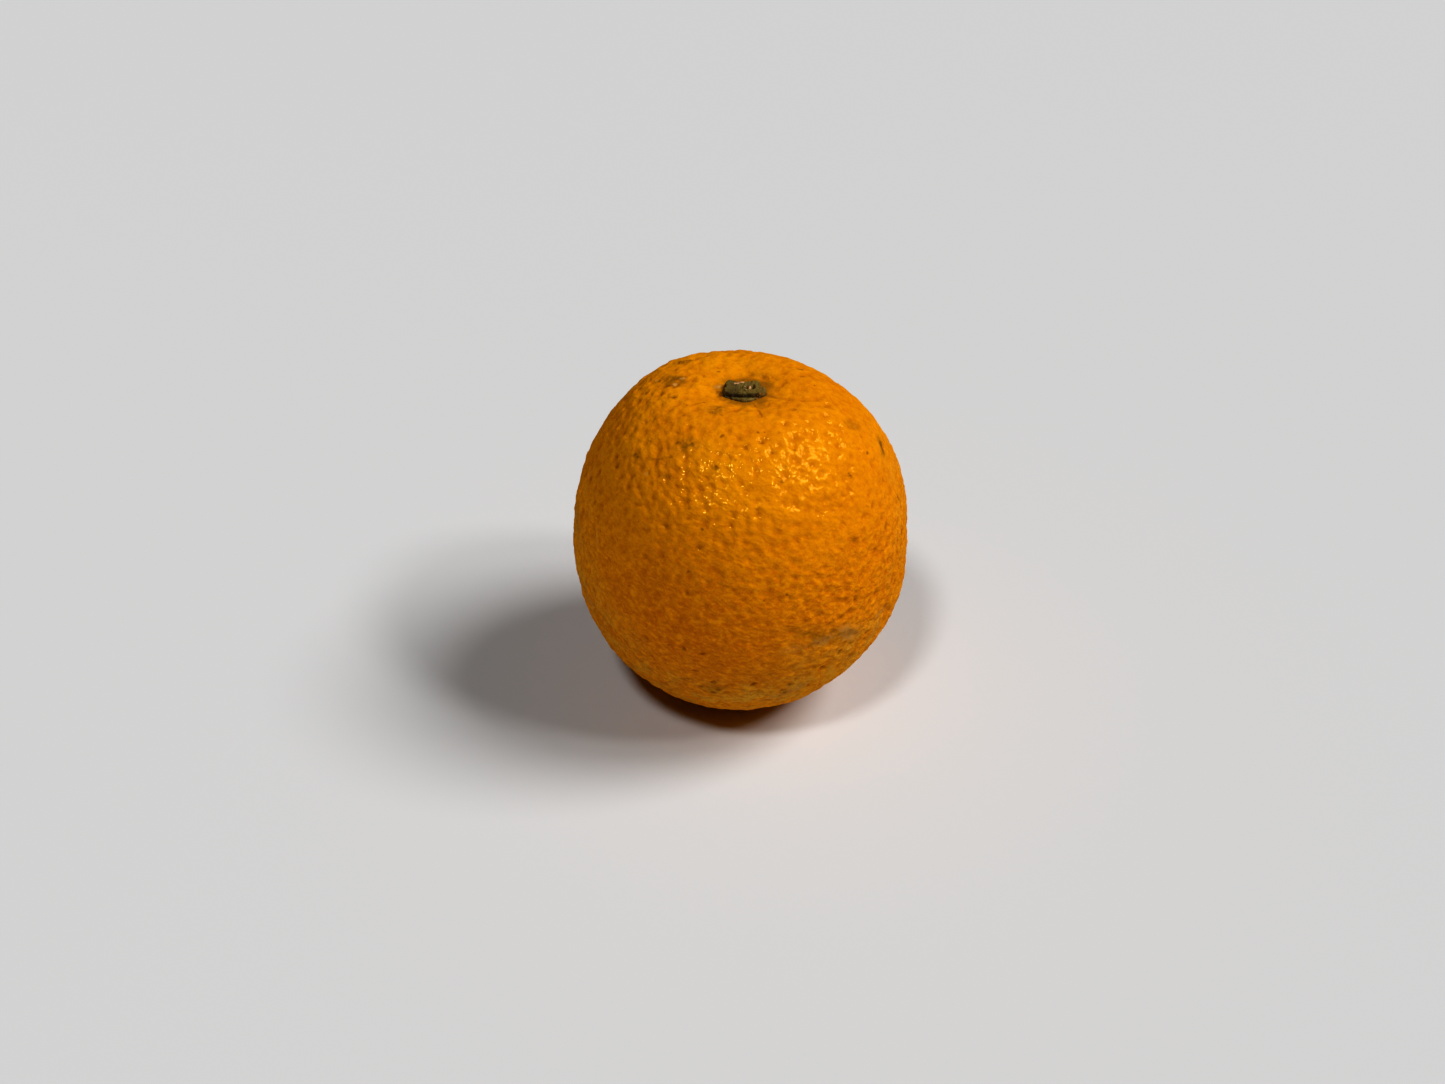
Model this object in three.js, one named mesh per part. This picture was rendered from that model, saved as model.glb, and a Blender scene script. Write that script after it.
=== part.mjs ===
// A whole ripe orange, standing on its blossom end with its stem end up.
//
// The fruit grew as one piece, so it is one solid: a body a little taller than it is wide, a shallow
// hollow at the stem end with furrows running out of it, a rind covered in gland pits, and a small
// flat spot that it rests on. The second piece is the stem button, the dried calyx that stays in
// the hollow when the fruit is picked.
//
// Millimetres. +Z is up along the fruit's axis, and the origin is under its middle, on the
// plane that it rests on. Bearings are in degrees round +Z, counted from +X towards +Y.

import * as THREE from "three";
import { ConvexGeometry } from "three/addons/geometries/ConvexGeometry.js";
import { mergeVertices } from "three/addons/utils/BufferGeometryUtils.js";

// ---- Body -------------------------------------------------------------------------------------

const equatorRadius = 37.5;
const equatorToStemEnd = 42.6; // before the hollow is sunk in it
const equatorToBlossomEnd = 38.9; // before the rest spot is flattened
const stemEndFullness = 2.2; // 2 is an ellipsoid, and more is squarer
const blossomEndFullness = 2.03;
const restSpotRadius = 8;

// Slow unevenness: where the body swells (+) or falls away (-), and how far round that spreads.
const swellings = [
  { place: "left shoulder", bearing: 125, latitude: 50, height: 0.75, spread: 19 },
  { place: "right shoulder", bearing: 47, latitude: 46, height: -0.65, spread: 16 },
  { place: "right flank, high", bearing: 15, latitude: 22, height: 0.45, spread: 14 },
  { place: "left flank, high", bearing: 160, latitude: 26, height: -0.2, spread: 15 },
  { place: "left side", bearing: 186, latitude: -8, height: -0.25, spread: 10 },
  { place: "left flank, low", bearing: 200, latitude: -28, height: -0.1, spread: 12 },
  { place: "right flank, low", bearing: -15, latitude: -18, height: 0.25, spread: 14 },
  { place: "right foot", bearing: -36, latitude: -40, height: -0.25, spread: 15 },
  { place: "back", bearing: 80, latitude: -5, height: 0.35, spread: 22 },
];

// ---- Stem end ---------------------------------------------------------------------------------

const hollowDepth = 4.4;
const hollowRadius = 12;
const stemCenter = new THREE.Vector2(1.1, -0.1); // the stem grew a little off the fruit's axis
const seatDepth = 0.6; // the button's own recess in the floor of the hollow
const seatRadius = 6;

// Furrows that run out of the hollow, each fading in past the button and out at its end.
const furrowStart = 4.5;
const furrowFade = 2.5;
const furrows = [
  { bearing: -15, end: 21, width: 2.4, depth: 0.75 },
  { bearing: -60, end: 12, width: 1.7, depth: 0.5 },
  { bearing: -101, end: 10, width: 1.7, depth: 0.45 },
  { bearing: -138, end: 13, width: 1.9, depth: 0.4 },
  { bearing: 191, end: 16, width: 2.2, depth: 0.65 },
  { bearing: 148, end: 14, width: 2.0, depth: 0.5 },
  { bearing: 96, end: 17, width: 2.2, depth: 0.6 },
  { bearing: 48, end: 14, width: 2.0, depth: 0.5 },
];

// ---- Rind: gland pits, larger than life, with raised rind between them ---------------------------

const pitCount = 1400;
const pitJitter = 0.3; // as a share of the spacing
const pitDepth = 0.42;
const pitRadius = 1.15;
const pitDepthSpread = 0.4; // as a share of the depth
const pitSeed = 7;
const smoothStemRadius = 6; // the rind under the button has no pits
const goldenAngle = Math.PI * (3 - Math.sqrt(5));

// ---- Stem button: five sepals round a raised disc -----------------------------------------------

const buttonSeatGap = 0.3;
const sepalValleyRadius = 3.6;
const sepalHalfWidth = 23; // degrees
const sepals = [
  { bearing: -79, reach: 4.1 },
  { bearing: -8, reach: 4.8 },
  { bearing: 54, reach: 4.9 },
  { bearing: 133, reach: 5.2 },
  { bearing: 187, reach: 4.7 },
];
const buttonSides = 45;
const frontBearing = -85; // the groove round the disc is deepest on this side
const grooveDepth = 0.55;

// The button's section: how far out, as a share of the outline, and how high over its seat.
const buttonTop = [
  [0, 1.15],
  [0.13, 1.1],
  [0.2, 1.42], // rim of the stem scar
  [0.28, 1.45],
  [0.36, 1.3],
  [0.52, 1.35],
  [0.64, 1.2],
  [0.72, 1.05], // floor of the groove, on the side where it is cut
  [0.8, 1.0],
  [0.92, 0.8],
  [1, 0.5],
];
const buttonUnderside = [
  [0.96, 0],
  [0.6, 0],
  [0.3, 0],
  [0, 0],
];

// ---- Colours ------------------------------------------------------------------------------------

const rindFinish = { color: "#ec8600", roughness: 0.45, metalness: 0 };
const buttonFinish = { color: "#5a4a20", roughness: 0.85, metalness: 0 };

// -------------------------------------------------------------------------------------------------

/** A repeatable source of numbers from 0 to 1. */
function seededRandom(seed) {
  let state = seed >>> 0;
  return () => {
    state = (state + 0x6d2b79f5) >>> 0;
    let mixed = Math.imul(state ^ (state >>> 15), state | 1);
    mixed ^= mixed + Math.imul(mixed ^ (mixed >>> 7), mixed | 61);
    return ((mixed ^ (mixed >>> 14)) >>> 0) / 2 ** 32;
  };
}

/** 1 at the middle of a mound and falling away smoothly, with `reach` as its half width. */
function mound(distance, reach) {
  return Math.exp(-((distance / reach) ** 2));
}

/** The unit direction at a bearing and latitude in degrees. */
function directionAt(bearing, latitude) {
  const polar = THREE.MathUtils.degToRad(90 - latitude);
  const azimuth = THREE.MathUtils.degToRad(bearing);
  return new THREE.Vector3(
    Math.sin(polar) * Math.cos(azimuth),
    Math.sin(polar) * Math.sin(azimuth),
    Math.cos(polar),
  );
}

/** The turn from one bearing to another in degrees, the short way round. */
function bearingBetween(from, to) {
  return THREE.MathUtils.euclideanModulo(to - from + 180, 360) - 180;
}

/** Distance from the centre to the smooth body along a unit direction. */
function bodyRadius(direction) {
  const upper = direction.z > 0;
  const fullness = upper ? stemEndFullness : blossomEndFullness;
  const reach = upper ? equatorToStemEnd : equatorToBlossomEnd;
  const across = Math.hypot(direction.x, direction.y) / equatorRadius;
  const along = Math.abs(direction.z) / reach;
  return (across ** fullness + along ** fullness) ** (-1 / fullness);
}

/** Height of the smooth body over the equator at a distance from the axis, with no hollow. */
function heightAt(distance, reach, fullness) {
  return reach * (1 - (distance / equatorRadius) ** fullness) ** (1 / fullness);
}

/** How far the hollow and the button's seat sink the stem end at a place on it. */
function hollowSink(place) {
  const seat = seatDepth * mound(place.distanceTo(stemCenter), seatRadius);
  return hollowDepth * mound(place.length(), hollowRadius) + seat;
}

/** How deep the furrows run at a place on the stem end. */
function furrowSink(place) {
  const distance = place.distanceTo(stemCenter);
  const bearing = THREE.MathUtils.radToDeg(place.clone().sub(stemCenter).angle());
  let sink = 0;
  for (const furrow of furrows) {
    const turn = THREE.MathUtils.degToRad(bearingBetween(furrow.bearing, bearing));
    const fadeIn = THREE.MathUtils.smoothstep(distance, furrowStart, furrowStart + furrowFade);
    const fadeOut = 1 - THREE.MathUtils.smoothstep(distance, furrow.end / 2, furrow.end);
    sink += furrow.depth * fadeIn * fadeOut * mound(turn * distance, furrow.width);
  }
  return sink;
}

/** How far the body swells outwards along a unit direction. */
function swellingAt(direction) {
  let height = 0;
  for (const { bearing, latitude, height: peak, spread } of swellings) {
    const away = THREE.MathUtils.radToDeg(direction.angleTo(directionAt(bearing, latitude)));
    height += peak * mound(away, spread);
  }
  return height;
}

/** Gland pits, spread evenly over the fruit and then shifted a little, each with its depth. */
function makePits() {
  const random = seededRandom(pitSeed);
  const spacing = Math.sqrt((4 * Math.PI) / pitCount);
  const shift = () => (random() - 0.5) * 2 * pitJitter * spacing;
  const pits = [];
  for (let index = 0; index < pitCount; index += 1) {
    const height = 1 - (2 * index + 1) / pitCount;
    const ring = Math.sqrt(1 - height ** 2);
    const turn = goldenAngle * index;
    const direction = new THREE.Vector3(ring * Math.cos(turn), ring * Math.sin(turn), height);
    direction.add(new THREE.Vector3(shift(), shift(), shift())).normalize();
    const depth = pitDepth * (1 + pitDepthSpread * (2 * random() - 1));
    pits.push({ direction, depth });
  }
  return pits;
}

/** A direction in the middle of each three neighbouring pits, where the rind stands highest. */
function betweenPits(pitDirections) {
  const corners = new ConvexGeometry(pitDirections).getAttribute("position");
  const middles = [];
  for (let first = 0; first < corners.count; first += 3) {
    const middle = new THREE.Vector3();
    for (let corner = first; corner < first + 3; corner += 1) {
      middle.add(new THREE.Vector3().fromBufferAttribute(corners, corner));
    }
    middles.push(middle.normalize());
  }
  return middles;
}

/** How deep the nearest gland pit is at a unit direction on the body. */
function pitSink(direction, radius, pits) {
  let nearest = pits[0];
  let closeness = -1;
  for (const pit of pits) {
    const cosine = pit.direction.dot(direction);
    if (cosine > closeness) {
      closeness = cosine;
      nearest = pit;
    }
  }
  return nearest.depth * mound(radius * Math.acos(Math.min(1, closeness)), pitRadius);
}

/** The place on the rind along a unit direction. */
function rindPoint(direction, pits, restPlane) {
  const radius = bodyRadius(direction) + swellingAt(direction);
  const point = direction.clone().multiplyScalar(radius);
  const place = new THREE.Vector2(point.x, point.y);
  const onStemEnd = direction.z > 0;
  const underButton = onStemEnd && place.distanceTo(stemCenter) < smoothStemRadius;
  if (!underButton) {
    point.addScaledVector(direction, -pitSink(direction, radius, pits));
  }
  if (onStemEnd) {
    place.set(point.x, point.y);
    point.z -= hollowSink(place) + furrowSink(place);
  }
  point.z = Math.max(point.z, restPlane);
  return point;
}

function makeFruit(restPlane) {
  const pits = makePits();
  const pitDirections = pits.map((pit) => pit.direction);
  const net = new ConvexGeometry([...pitDirections, ...betweenPits(pitDirections)]);
  net.deleteAttribute("normal");
  const rind = mergeVertices(net);
  const places = rind.getAttribute("position");
  for (let index = 0; index < places.count; index += 1) {
    const direction = new THREE.Vector3().fromBufferAttribute(places, index).normalize();
    const point = rindPoint(direction, pits, restPlane);
    places.setXYZ(index, point.x, point.y, point.z);
  }
  rind.computeVertexNormals();
  const fruit = new THREE.Mesh(rind, new THREE.MeshStandardMaterial(rindFinish));
  fruit.name = "orange_fruit";
  return fruit;
}

/** The button's outline: how far it reaches at a bearing, out along the sepals and in between. */
function buttonReach(bearing) {
  let reach = sepalValleyRadius;
  for (const sepal of sepals) {
    const turn = bearingBetween(sepal.bearing, bearing);
    reach += (sepal.reach - sepalValleyRadius) * mound(turn, sepalHalfWidth);
  }
  return reach;
}

/** How deep the groove round the disc is cut, at a share of the outline and a bearing. */
function grooveSink(share, bearing) {
  const facing = mound(bearingBetween(frontBearing, bearing), 95);
  return grooveDepth * facing * mound(share - 0.74, 0.09);
}

/** The rind's height under the button, which lies `buttonSeatGap` over it. */
function seatHeight(place) {
  const height = heightAt(place.length(), equatorToStemEnd, stemEndFullness);
  return height - hollowSink(place) + buttonSeatGap;
}

function makeStemButton() {
  const section = [...buttonUnderside].reverse().concat([...buttonTop].reverse());
  const profile = section.map(([share, height]) => new THREE.Vector2(share, height));
  const lathe = new THREE.LatheGeometry(profile, buttonSides);
  lathe.rotateX(Math.PI / 2); // the lathe turns about +Y, and the fruit's axis is +Z
  lathe.deleteAttribute("normal");
  lathe.deleteAttribute("uv");
  const shape = mergeVertices(lathe);
  const places = shape.getAttribute("position");
  for (let index = 0; index < places.count; index += 1) {
    const share = Math.hypot(places.getX(index), places.getY(index));
    const angle = Math.atan2(places.getY(index), places.getX(index));
    const bearing = THREE.MathUtils.radToDeg(angle);
    const reach = share * buttonReach(bearing);
    const place = new THREE.Vector2(Math.cos(angle), Math.sin(angle));
    place.multiplyScalar(reach).add(stemCenter);
    const overSeat = places.getZ(index);
    const cut = overSeat > 0 ? grooveSink(share, bearing) : 0;
    places.setXYZ(index, place.x, place.y, seatHeight(place) + overSeat - cut);
  }
  shape.computeVertexNormals();
  const button = new THREE.Mesh(shape, new THREE.MeshStandardMaterial(buttonFinish));
  button.name = "stem_button";
  return button;
}

function makeOrange() {
  const restPlane = -heightAt(restSpotRadius, equatorToBlossomEnd, blossomEndFullness);
  const fruit = makeFruit(restPlane);
  const middle = new THREE.Box3().setFromObject(fruit).getCenter(new THREE.Vector3());
  const orange = new THREE.Group();
  orange.add(fruit, makeStemButton());
  orange.position.set(-middle.x, -middle.y, -restPlane);
  return orange;
}

const group = new THREE.Group();
group.add(makeOrange());

export default group;
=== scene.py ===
"""An orange standing on its blossom end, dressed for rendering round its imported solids.

The file is laid out as an add-on and run as a script. One operator grows the rind, one makes the
dried stem button in its hollow, and one sets the stage. Lengths are in metres unless a name or
comment says millimetres. +Z is up along the fruit's axis, and bearings are in degrees round +Z,
counted from +X towards +Y.
"""

import math
from collections import namedtuple

import bmesh
import bpy
import numpy as np
from mathutils import Matrix, Vector, noise


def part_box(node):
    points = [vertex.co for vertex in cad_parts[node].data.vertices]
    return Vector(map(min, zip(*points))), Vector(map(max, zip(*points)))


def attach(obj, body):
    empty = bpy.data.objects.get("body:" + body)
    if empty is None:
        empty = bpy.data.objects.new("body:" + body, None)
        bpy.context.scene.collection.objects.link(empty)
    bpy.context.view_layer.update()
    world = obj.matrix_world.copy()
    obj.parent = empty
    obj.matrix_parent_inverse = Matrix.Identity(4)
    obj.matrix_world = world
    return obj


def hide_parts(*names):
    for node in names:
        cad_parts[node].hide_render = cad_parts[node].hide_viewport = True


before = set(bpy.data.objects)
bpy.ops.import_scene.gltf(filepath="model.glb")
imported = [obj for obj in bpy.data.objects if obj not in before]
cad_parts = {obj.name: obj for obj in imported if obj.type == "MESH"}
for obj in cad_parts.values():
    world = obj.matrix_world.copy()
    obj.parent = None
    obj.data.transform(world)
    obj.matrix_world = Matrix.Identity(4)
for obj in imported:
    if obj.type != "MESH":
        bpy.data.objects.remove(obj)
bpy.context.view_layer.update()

bl_info = {
    "name": "Orange",
    "version": (1, 0, 0),
    "blender": (4, 5, 0),
    "location": "View3D > Sidebar > Orange",
    "description": "Grows an orange's rind and stem button round the packed model",
    "category": "Object",
}

MM = 0.001
FRUIT_NODE = "orange_fruit"
BUTTON_NODE = "stem_button"
BODY = "root"

# ---- Slow unevenness of the body, and the furrows round the stem ---------------------------------

# Where the body swells or falls away: degrees, degrees, millimetres, and its spread in degrees.
Swelling = namedtuple("Swelling", "bearing latitude height spread")
SWELLINGS = {
    "left shoulder": Swelling(125, 50, 0.75, 19),
    "right shoulder": Swelling(47, 46, -0.65, 16),
    "right flank, high": Swelling(15, 22, 0.45, 14),
    "left flank, high": Swelling(160, 26, -0.2, 15),
    "left side": Swelling(186, -8, -0.25, 10),
    "left flank, low": Swelling(200, -28, -0.1, 12),
    "right flank, low": Swelling(-15, -18, 0.25, 14),
    "right foot": Swelling(-36, -40, -0.25, 15),
    "back": Swelling(80, -5, 0.35, 22),
}

# Furrows that run out of the hollow from the stem: degrees, then millimetres.
Furrow = namedtuple("Furrow", "bearing end width depth")
FURROWS = (
    Furrow(-15, 21, 2.4, 0.75),
    Furrow(-66, 12, 1.5, 0.5),
    Furrow(-105, 10, 1.6, 0.45),
    Furrow(-138, 13, 1.9, 0.4),
    Furrow(190, 16, 2.2, 0.65),
    Furrow(148, 14, 2.0, 0.5),
    Furrow(96, 17, 2.2, 0.6),
    Furrow(48, 14, 2.0, 0.5),
)
STEM_CENTER = Vector((1.1 * MM, -0.1 * MM, 0))
# How far from the stem they start, and how much farther they reach their depth.
FURROW_START = 4.5 * MM
FURROW_FADE = 2.5 * MM

# How far the rind's ripples run down to the right, in degrees, and how noise is squeezed to draw
# them.
RIPPLE_TILT = 22
RIPPLE_SQUEEZE = (0.55, 0.7, 1.0)
# The heights over the equator between which they grow fainter.
SHOULDER_START = 8 * MM
SHOULDER_END = 28 * MM

# ---- Marks on the rind ---------------------------------------------------------------------------

# Where a mark lies, in degrees, its length and width in millimetres, its turn from level in
# degrees, and how strongly it shows.
Mark = namedtuple("Mark", "bearing latitude length width turn strength")
MARKS = {
    "stain": (
        Mark(-119.5, 75.5, 4.6, 3.8, 57, 0.8),
        Mark(-121.5, 59.5, 6.0, 3.6, 17, 0.6),
        Mark(-14, 53.5, 5.5, 3.0, -50, 0.5),
        Mark(57, 79, 4.5, 2.0, 23, 0.5),
        Mark(-125, 49, 1.8, 1.8, 0, 0.6),
        Mark(166, 69, 8.0, 4.4, 66, 0.9),
        Mark(-7.5, 41, 6.0, 3.4, 25, 0.9),
        Mark(-62, -3.5, 19.0, 4.5, -27, 0.6),
        Mark(-100, -25, 5.0, 3.5, 20, 0.6),
    ),
    "scar": (
        Mark(135, 66, 4.6, 2.2, -50, 0.7),
        Mark(150, 67.5, 1.3, 1.2, 0, 0.8),
        Mark(162.5, 70.5, 4.0, 1.6, -61, 0.8),
        Mark(174.5, 68.5, 3.4, 1.3, 77, 0.7),
        Mark(165, 64.5, 0.9, 0.9, 0, 0.9),
        Mark(175, 61, 1.9, 0.8, -3, 0.8),
        Mark(-165, 69, 1.6, 1.0, 64, 0.8),
        Mark(-154.5, 61, 1.4, 0.7, -49, 0.8),
        Mark(-146, 50, 2.2, 1.4, -8, 0.7),
        Mark(-177.5, 83.5, 1.6, 0.9, 83, 1.0),
        Mark(32.5, 68, 1.9, 0.7, 53, 1.0),
        Mark(-7.5, 41, 3.2, 1.8, 45, 1.0),
        Mark(-38.5, 69.5, 1.4, 0.8, -87, 0.7),
        Mark(-38.5, 44.5, 1.7, 0.5, -87, 0.9),
        Mark(-54, -14, 1.7, 1.3, 40, 0.7),
    ),
    "scuff": (
        Mark(-51.5, -7, 8.0, 3.4, -42, 1.0),
        Mark(-62, -5.5, 6.0, 2.6, 0, 0.9),
        Mark(-72, -6, 7.0, 2.4, 0, 0.4),
        Mark(-166, 15.5, 12.0, 2.2, -46, 0.7),
        Mark(-153.5, -7, 7.0, 2.2, -67, 0.6),
        Mark(-34, -8, 6.0, 1.8, -8, 0.6),
        Mark(-36.5, -15, 6.0, 2.0, 38, 0.6),
        Mark(-72, -31.5, 12.0, 3.4, 30, 0.7),
        Mark(156, 82.5, 1.9, 1.4, -38, 1.0),
    ),
    "fleck": (
        Mark(162.5, 71.5, 1.5, 0.7, 90, 1.0),
        Mark(172, 70, 1.2, 1.0, 76, 1.0),
        Mark(162.5, 63, 0.8, 0.9, -28, 0.8),
        Mark(156.5, 82.5, 1.2, 0.8, -12, 0.7),
        Mark(-135, 47, 0.9, 0.7, 20, 0.7),
    ),
    "dot": (
        Mark(124, 78, 0.9, 0.9, 0, 0.9),
        Mark(119.5, 76, 0.7, 0.7, 0, 0.6),
        Mark(146, 76.5, 0.9, 0.9, 0, 0.8),
        Mark(-144, 76, 0.8, 0.7, 0, 0.7),
        Mark(-139.5, 67.5, 1.0, 0.7, 40, 0.7),
        Mark(-102.5, 64.5, 1.2, 0.8, 60, 1.0),
        Mark(-118.5, 60, 1.4, 1.0, 51, 0.8),
        Mark(-128, 59, 1.0, 0.9, 17, 0.8),
        Mark(-121, 73, 1.1, 1.0, 40, 0.6),
        Mark(-110, 73, 1.0, 0.9, 0, 0.7),
        Mark(-102.5, 54.5, 2.0, 1.1, -13, 1.0),
        Mark(-93, 57, 1.0, 0.9, 0, 0.6),
        Mark(-104, 44.5, 1.3, 1.1, 11, 0.6),
        Mark(-110.5, 42, 0.9, 0.8, 0, 0.8),
        Mark(-104.5, 36.5, 0.9, 0.8, 0, 0.8),
        Mark(6, 67.5, 0.7, 0.7, 0, 0.5),
        Mark(-16, 63.5, 0.9, 0.9, 0, 0.5),
        Mark(-78, 66, 0.7, 0.7, 0, 1.0),
        Mark(-73.5, 66, 0.5, 0.5, 0, 0.9),
        Mark(-64, 64.5, 0.9, 0.8, 0, 0.5),
        Mark(-73, 59, 0.9, 0.9, 0, 0.7),
        Mark(-60, 58, 0.9, 0.7, -35, 0.7),
        Mark(-68.5, 54, 1.1, 1.0, 0, 0.6),
        Mark(-71.5, 50, 1.1, 0.9, 0, 0.7),
        Mark(-75.5, 49, 0.7, 0.7, 0, 0.6),
        Mark(-21.5, 45.5, 1.0, 0.9, 60, 0.9),
        Mark(-83.5, 43, 1.1, 0.9, 0, 0.6),
        Mark(-75, 15.5, 0.7, 0.7, 0, 1.0),
        Mark(-83.5, 29.5, 0.6, 0.6, 0, 0.9),
        Mark(-87, 31, 1.5, 1.2, 0, 0.4),
        Mark(-63.5, 5.5, 1.0, 0.8, 0, 0.6),
        Mark(-108, 23, 0.6, 0.6, 0, 1.0),
        Mark(-167, 15, 1.6, 0.8, -59, 1.0),
        Mark(-99.5, -21.5, 1.4, 1.0, 10, 1.0),
        Mark(-100, -28, 1.8, 1.3, 0, 0.9),
        Mark(-98, -26, 1.3, 0.8, 0, 0.8),
        Mark(-104.5, -25.5, 1.4, 1.1, 0, 0.8),
        Mark(-59, -11.5, 0.8, 0.7, 0, 0.8),
        Mark(-64, -6, 0.8, 0.7, 0, 0.8),
        Mark(-72.5, -31, 1.4, 1.1, 0, 0.8),
    ),
    # Dark cracks, partly painted shade in grooves too fine for the rind's points.
    "crack_and_shade": (
        Mark(-64, 80, 3.8, 0.5, 88, 0.8),
        Mark(-68.5, 74.5, 4.4, 0.55, 82, 1.0),
        Mark(-143, 50, 3.6, 0.6, 16, 0.35),
        Mark(-136.5, 51.5, 3.5, 0.6, 20, 0.4),
        Mark(-131, 53, 3.2, 0.7, 29, 0.5),
        Mark(-126, 55, 3.2, 0.8, 39, 0.7),
        Mark(-19.5, 77.5, 5.0, 1.0, -86, 0.6),
        Mark(-14, 25, 3.0, 0.5, -65, 0.9),
        Mark(-13.5, 22, 2.6, 0.5, -88, 0.8),
        Mark(-109.5, -22, 4.0, 1.0, 16, 0.8),
    ),
    "scratch": (
        Mark(175, 43, 5.0, 0.5, -68, 0.9),
        Mark(-166, 40.5, 4.0, 0.5, -84, 0.8),
        Mark(-168, 34, 4.0, 0.5, 85, 0.8),
        Mark(-165.5, 28.5, 2.4, 0.5, -67, 0.7),
        Mark(-157, 26, 5.0, 0.5, -73, 0.6),
        Mark(-149, 20, 4.6, 0.5, -57, 0.6),
    ),
}
# What each kind of mark adds: its colour, how much of it shows at most, the size in millimetres of
# the spots that its edges break into, how strongly they do, and whether it is too fine for the
# rind's points to hold, so that the material draws it.
Paint = namedtuple("Paint", "color share grain raggedness fine")
PAINTS = {
    "stain": Paint((0.33, 0.135, 0.008), 0.85, 1.0, 1.0, False),
    "scuff": Paint((0.46, 0.225, 0.055), 0.85, 0.6, 1.5, False),
    "scar": Paint((0.2, 0.075, 0.008), 0.95, 0.8, 0.9, False),
    "fleck": Paint((0.66, 0.33, 0.08), 0.9, 0.5, 0.6, True),
    "scratch": Paint((0.72, 0.36, 0.09), 0.6, 0.8, 1.2, True),
    "dot": Paint((0.17, 0.055, 0.004), 0.7, 0.6, 0.7, True),
    # Cracks are partly painted shade in grooves too fine for the rind's points.
    "crack_and_shade": Paint((0.22, 0.07, 0.003), 0.55, 0.8, 1.0, True),
}
# How far out a mark starts to fade and where it ends, as shares of its half size.
MARK_CORE = 0.25
MARK_FADE = 1.45
# Half the thickness of the oval that a mark is cut from, and how far and how finely its edge
# wavers.
MARK_DEPTH = 4 * MM
MARK_WAVER = 0.6 * MM
MARK_WAVER_SIZE = 1.6 * MM
# Broad stretches where the rind leans to another colour or is smoother: degrees, how many degrees
# each spreads, and how strongly it shows.
Cast = namedtuple("Cast", "bearing latitude spread strength")
CASTS = {
    "pale": (Cast(-140, 45, 34, 0.45), Cast(-95, 35, 26, 0.6), Cast(120, 60, 30, 0.6)),
    "smooth": (Cast(-82, 12, 30, 0.25),),
    # Redder rind, and painted shade low on the front towards the left.
    "ruddy_and_shade": (Cast(-20, 0, 40, 0.5), Cast(-108, -6, 40, 1.0)),
    # Duller olive rind, made lighter round the bottom as painted light from the floor.
    "olive": (
        Cast(178, 8, 18, 0.4), Cast(-160, 2, 16, 0.5), Cast(-144, -16, 16, 0.6),
        Cast(-123, -30, 18, 0.6), Cast(-90, -37, 20, 0.8), Cast(-57, -28, 22, 0.8),
        Cast(-36, -16, 16, 0.4), Cast(-20, 5, 14, 0.3), Cast(-7, 24, 16, 0.3)),
}
# Colours that only small parts of the rind take: painted shade in its pores, a painted highlight
# on its ridges that is partly their own paler tone, dark specks and a darker ring round the calyx.
# Then the colours of its two sheens, and the spacing of the cells that its dark specks fall in.
PORE_SHADE_COLOR = (0.16, 0.05, 0.003)
RIDGE_HIGHLIGHT_COLOR = (0.95, 0.37, 0.004)
SPECK_COLOR = (0.2, 0.065, 0.004)
BUTTON_RING_COLOR = (0.3, 0.12, 0.008)
WAX_COLOR = (1.0, 0.52, 0.01)
GLINT_COLOR = (1.0, 0.66, 0.12)
SPECK_SPACING = 5 * MM

# ---- Stem button ---------------------------------------------------------------------------------

# The five sepals: degrees, and how far out each reaches in millimetres.
SEPALS = ((-80, 3.8), (-8, 4.8), (46, 4.6), (141, 5.3), (187, 4.8))
# How far the dried calyx has settled from the middle of its solid.
CALYX_SHIFT = Vector((-0.25 * MM, -0.6 * MM, 0))
# How far out the calyx reaches between them, in millimetres, and half their width in degrees.
SEPAL_VALLEY = 3.5
SEPAL_HALF_WIDTH = 22
# Millimetres from the calyx's middle: the disc's front edge and how far it slants in each one, the
# stem's scar, and the dip on the left.
DISC_FRONT = -1.75
DISC_SLANT = -0.08
SCAR = (1.15, 1.0)
DIP = (-2.4, 0.3)
# Painted shade in the calyx's groove below the disc, in its holes and under its rim, and darker in
# its dip.
CREASE_SHADE_COLOR = (0.02, 0.011, 0.003)
# Pale straw grain on the calyx's raised bumps, partly a painted highlight.
GRAIN_HIGHLIGHT_COLOR = (0.3, 0.23, 0.07)

# ---- Lights and camera ---------------------------------------------------------------------------

# Each light's bearing and elevation, in degrees.
LIGHT_PLACES = {"key light": (2, 51), "right lamp": (-23, 45), "left lamp": (-115, 60)}
# What the camera points past, and how far right and up of that line it stands.
CAMERA_TARGET = Vector((0, 0, 38.06 * MM))
CAMERA_SHIFT = (-3.85 * MM, -1.0 * MM)


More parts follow.
